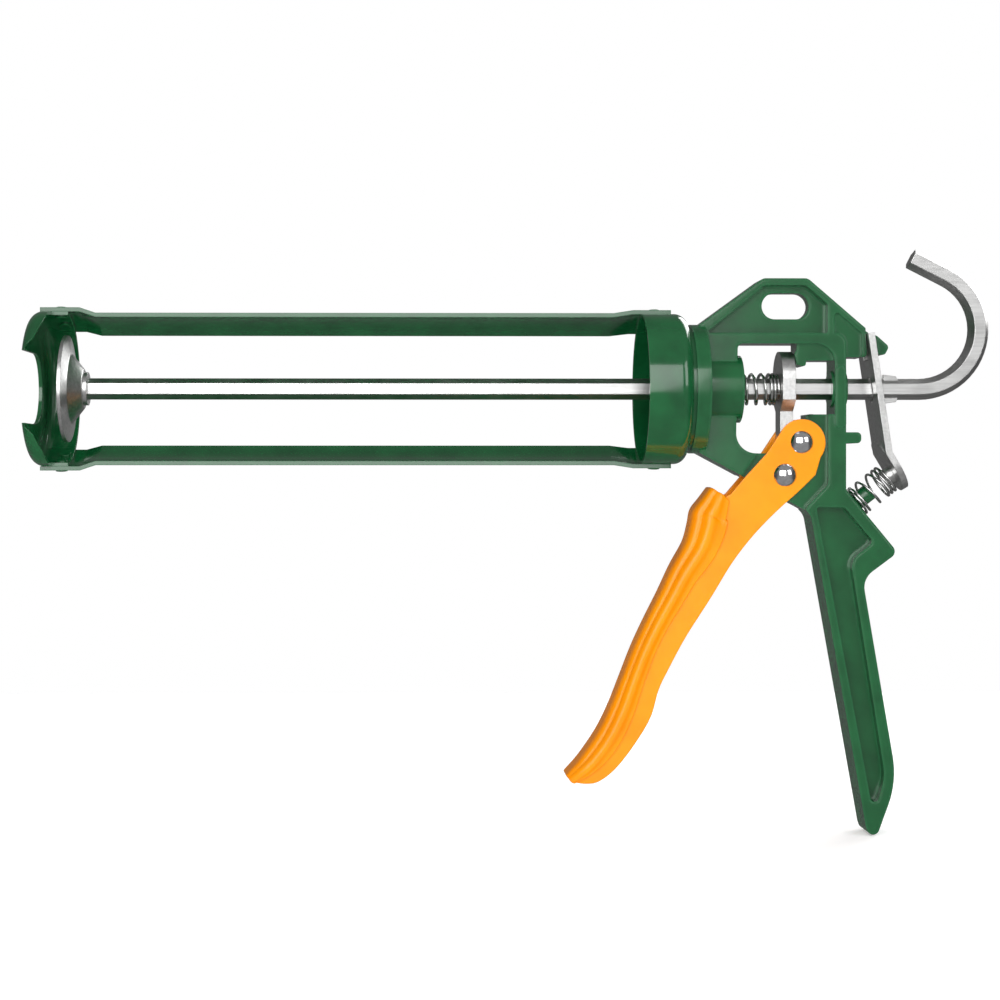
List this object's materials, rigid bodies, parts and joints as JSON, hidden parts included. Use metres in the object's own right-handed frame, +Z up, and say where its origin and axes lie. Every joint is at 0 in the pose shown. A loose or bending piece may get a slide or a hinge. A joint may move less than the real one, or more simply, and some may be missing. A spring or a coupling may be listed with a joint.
{
  "type": "caulking gun",
  "caption": "Open-cradle sealant gun: rotating cartridge cradle, cast handle, spring-returned trigger, plate-driven push rod with pressure disc and hooked end, release lever.",
  "frame": {"origin": "on the push rod's axis, at the inner face of the rear cup's floor, where the cartridge seats", "axes": "+X along the push rod from the nozzle end towards the hook, +Z up with the grip hanging down, +Y away from the open side of the cradle"},
  "size_m": [0.3419, 0.0544, 0.2085],
  "materials": {
    "green_paint": "glossy enamel",
    "cast_green_paint": "glossy enamel on a casting",
    "dark_paint": "glossy enamel",
    "orange_paint": "glossy enamel",
    "rivet_steel": "bright plated",
    "zinc_plate": "bright zinc plate",
    "rod_steel": "bright zinc plate",
    "lever_steel": "bright zinc plate",
    "spring_wire": "bright drawn wire"
  },
  "bodies": {
    "frame": {"handle_frame": "cast_green_paint", "swivel_washer": "dark_paint", "swivel_retaining_ring": "zinc_plate", "swivel_thrust_washer": "zinc_plate", "pivot_rivet": "rivet_steel", "drive_spring": "spring_wire", "release_spring": "spring_wire"},
    "cradle": {"rear_cup": "green_paint", "upper_strap": "green_paint", "lower_strap": "green_paint", "front_cap": "green_paint", "front_strap_rivets": "green_paint", "rear_strap_rivets": "green_paint"},
    "rod": {"push_rod": "rod_steel", "pressure_disc": "zinc_plate", "disc_washer": "zinc_plate", "disc_nut": "zinc_plate"},
    "trigger": {"trigger": "orange_paint", "pusher_rivet": "rivet_steel"},
    "drive_plate": {"drive_plate": "zinc_plate"},
    "release_lever": {"release_lever": "lever_steel"}
  },
  "joints": [
    {"name": "cradle_spin", "type": "hinge", "parent": "frame", "child": "cradle", "pos_m": [0, 0, 0], "axis": [1, 0, 0], "continuous": true},
    {"name": "rod_slide", "type": "slide", "parent": "frame", "child": "rod", "axis": [1, 0, 0], "range_m": [0, 0.205]},
    {"name": "trigger_squeeze", "type": "hinge", "parent": "frame", "child": "trigger", "pos_m": [0.036, 0, -0.0307], "axis": [0, -1, 0], "range_deg": [0, 28], "stiffness_Nm_per_rad": 0.4, "springref_deg": -20.05},
    {"name": "drive_plate_slide", "type": "slide", "parent": "frame", "child": "drive_plate", "axis": [-1, 0, 0], "range_m": [0, 0.00625], "deforming": ["drive_spring"]},
    {"name": "release_press", "type": "hinge", "parent": "frame", "child": "release_lever", "pos_m": [0.0661, 0, 0.0175], "axis": [0, 1, 0], "range_deg": [0, 6], "stiffness_Nm_per_rad": 0.3, "springref_deg": -22.92, "deforming": ["release_spring"]}
  ],
  "couplings": [
    {"joint": "drive_plate_slide", "follows": "trigger_squeeze", "m_per_rad": 0.0127}
  ]
}
